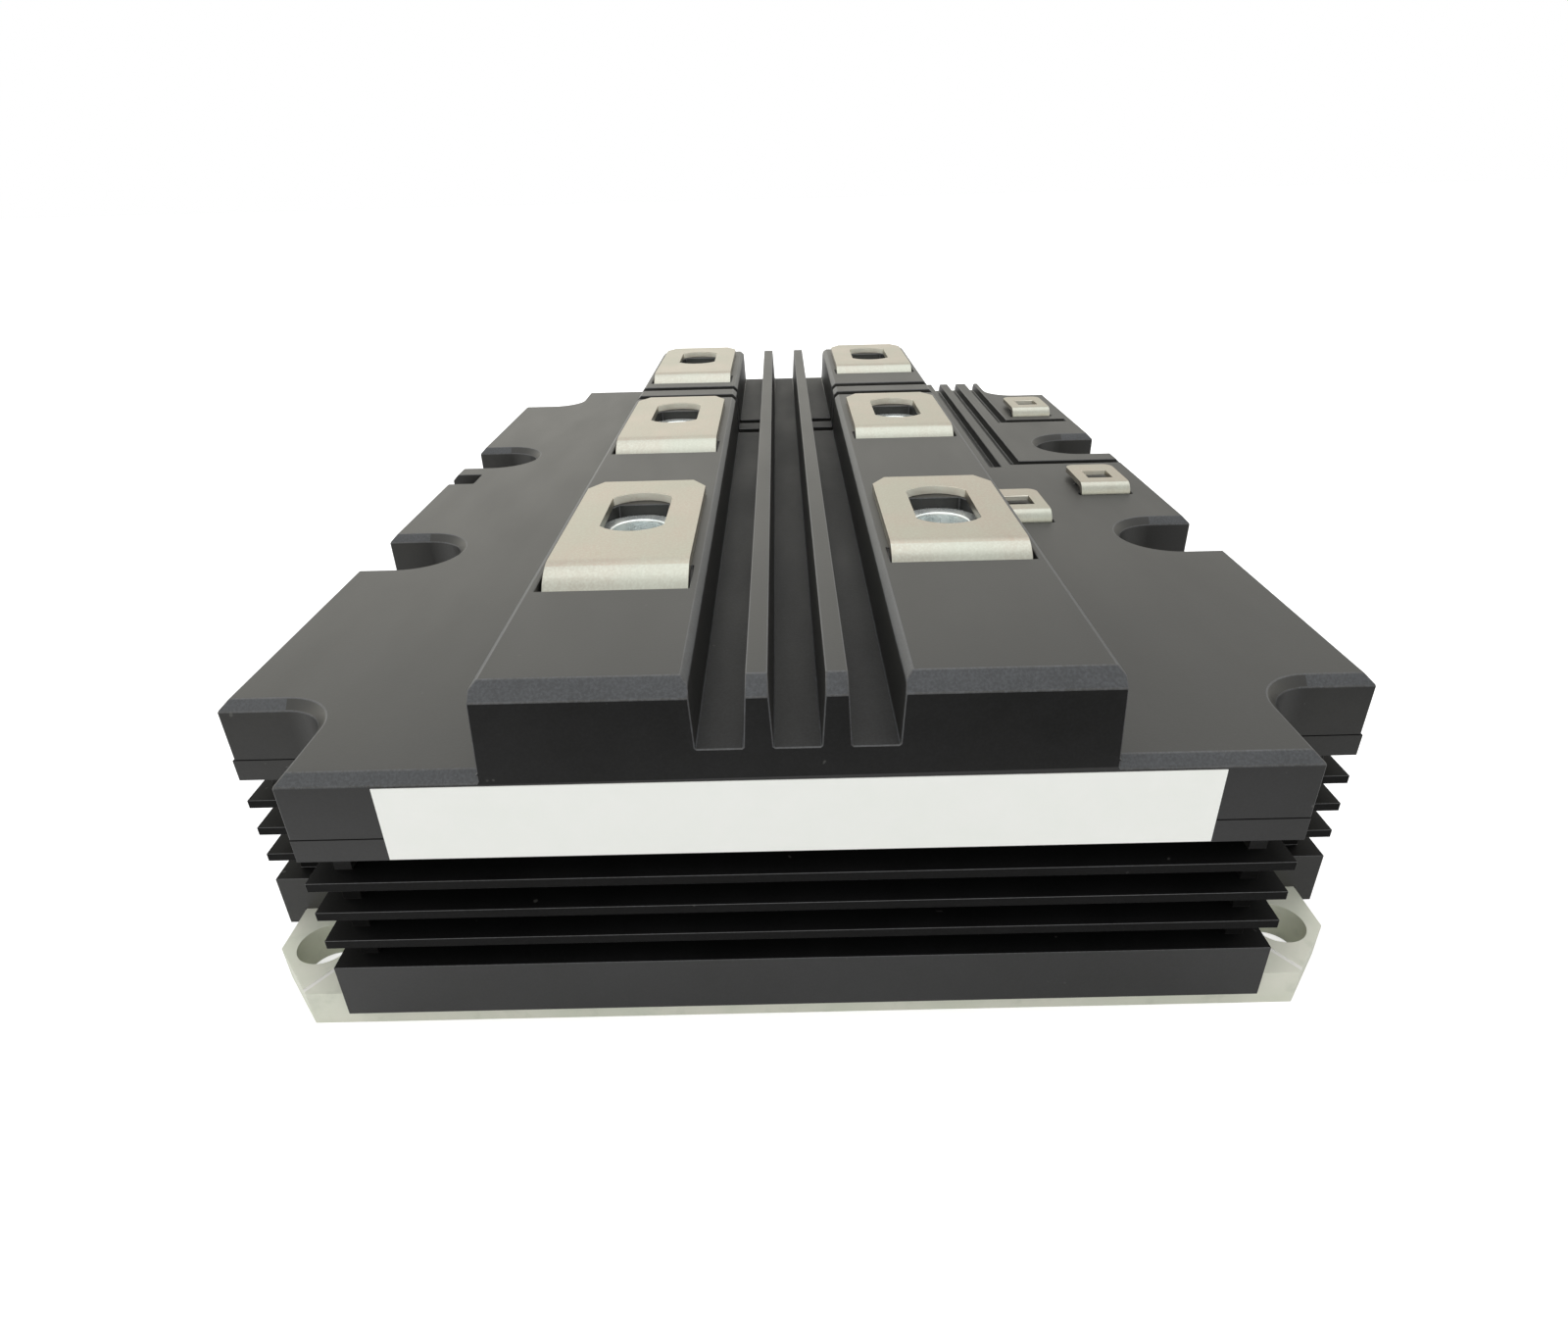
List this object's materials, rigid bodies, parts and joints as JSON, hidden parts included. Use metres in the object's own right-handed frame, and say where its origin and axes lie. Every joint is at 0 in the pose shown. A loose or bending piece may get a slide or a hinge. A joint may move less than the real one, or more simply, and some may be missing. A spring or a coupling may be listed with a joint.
{
  "type": "igbt power module",
  "caption": "Flat high-insulation power semiconductor module: finned black housing with raised terminal blocks, bent screw terminals and a silvery base plate with screw pockets.",
  "frame": {"origin": "centre of the base plate's underside", "axes": "+Z out of the terminals, +Y along the length away from the label end, +X across the width towards the auxiliary terminals"},
  "size_m": [0.1406, 0.1901, 0.0493],
  "materials": {
    "base_plate": "satin",
    "housing": "matte",
    "label": "satin",
    "terminal": "satin",
    "nut": "satin",
    "substrate": "satin",
    "chip": "gloss",
    "board": "satin",
    "gel": "gloss",
    "adhesive": "matte"
  },
  "bodies": {
    "root": {"base_plate": "base_plate", "housing_frame": "housing", "housing_lid": "housing", "label": "label", "emitter_terminal_1": "terminal", "emitter_terminal_2": "terminal", "emitter_terminal_3": "terminal", "collector_terminal_1": "terminal", "collector_terminal_2": "terminal", "collector_terminal_3": "terminal", "gate_terminal": "terminal", "aux_emitter_terminal": "terminal", "aux_collector_terminal": "terminal", "main_nuts": "nut", "aux_nuts": "nut", "substrate_1": "substrate", "substrate_2": "substrate", "substrate_3": "substrate", "substrate_4": "substrate", "substrate_5": "substrate", "substrate_6": "substrate", "igbt_chips": "chip", "diode_chips": "chip", "gate_board": "board", "gate_pins": "terminal", "silicone_gel": "gel", "frame_adhesive": "adhesive", "lid_adhesive": "adhesive"}
  },
  "joints": []
}
